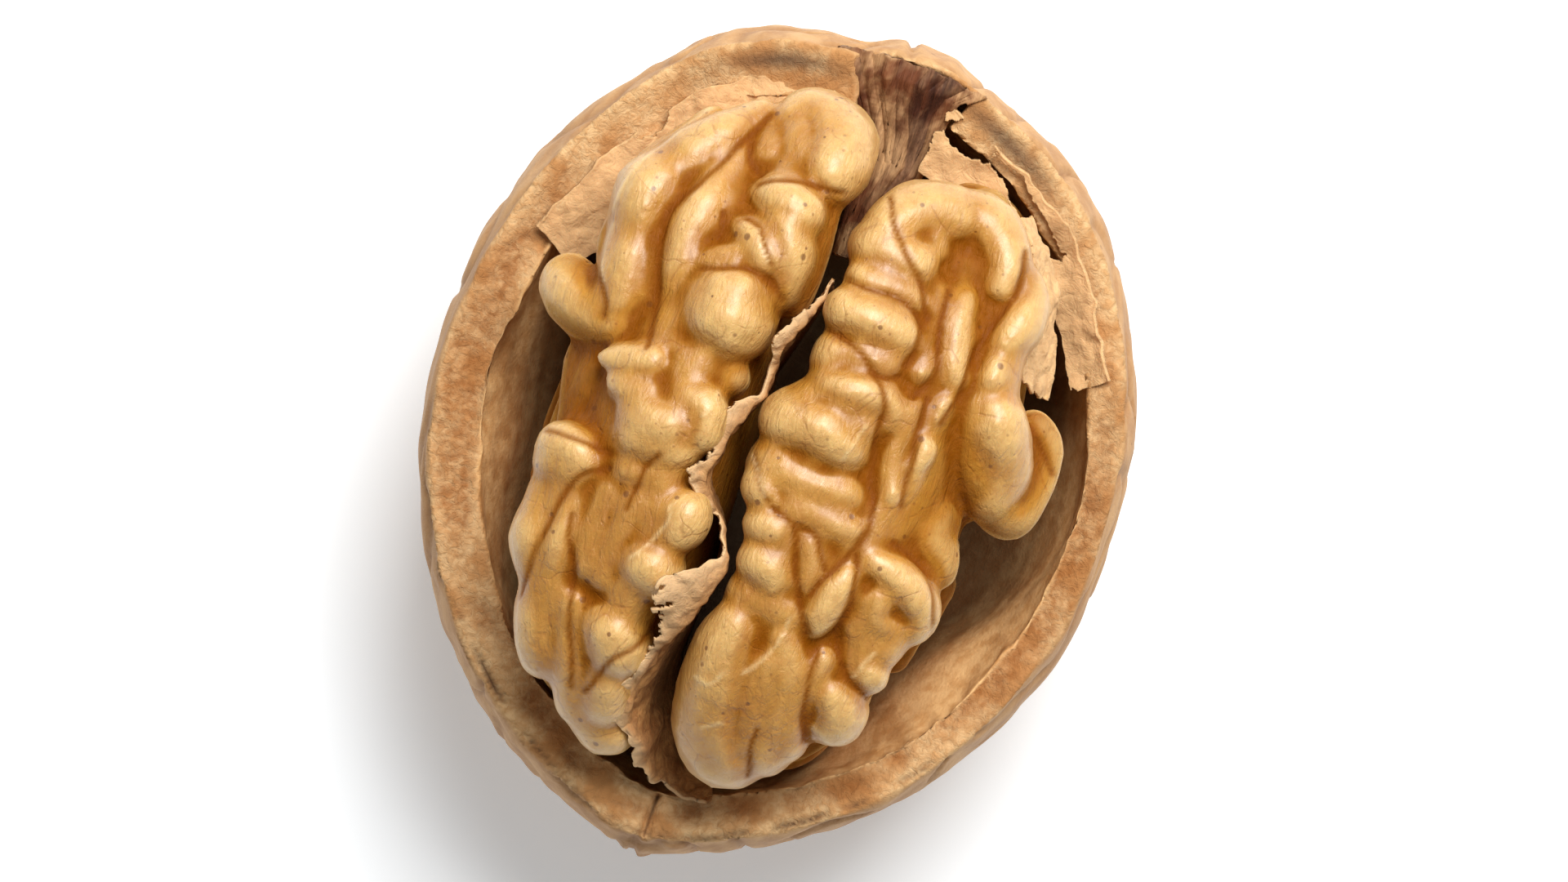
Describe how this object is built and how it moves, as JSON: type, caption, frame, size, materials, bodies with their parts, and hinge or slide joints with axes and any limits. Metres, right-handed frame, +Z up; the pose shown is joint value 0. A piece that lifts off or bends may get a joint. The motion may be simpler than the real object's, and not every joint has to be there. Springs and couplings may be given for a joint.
{
  "type": "walnut half with kernel",
  "caption": "Half walnut, its woody shell cracked open, with the whole wrinkled kernel, papery septum and dark stem fibres still in it.",
  "frame": {"origin": "middle of the resting spot's plane, under the middle of the shell", "axes": "+Z up out of the open shell, +Y along the nut towards its stem end, -Y towards its pointed tip, +X across the septum"},
  "size_m": [0.0348, 0.042, 0.0276],
  "materials": {
    "shell_wood": "dry tan shell with shallow grooves outside, pale fibrous broken rim, smooth brown inside",
    "seed_skin": "satin golden-tan seed skin with fine darker veins and specks",
    "papery_skin": "thin dull pinkish-tan membrane with torn pale edges",
    "dark_fibre": "dark brown fibres with lengthwise streaks"
  },
  "bodies": {
    "root": {"shell_half": "shell_wood", "kernel_left": "seed_skin", "kernel_right": "seed_skin", "septum": "papery_skin", "stem_fibres": "dark_fibre", "lining_left": "papery_skin", "lining_right": "papery_skin", "lining_flap": "papery_skin"}
  },
  "joints": []
}
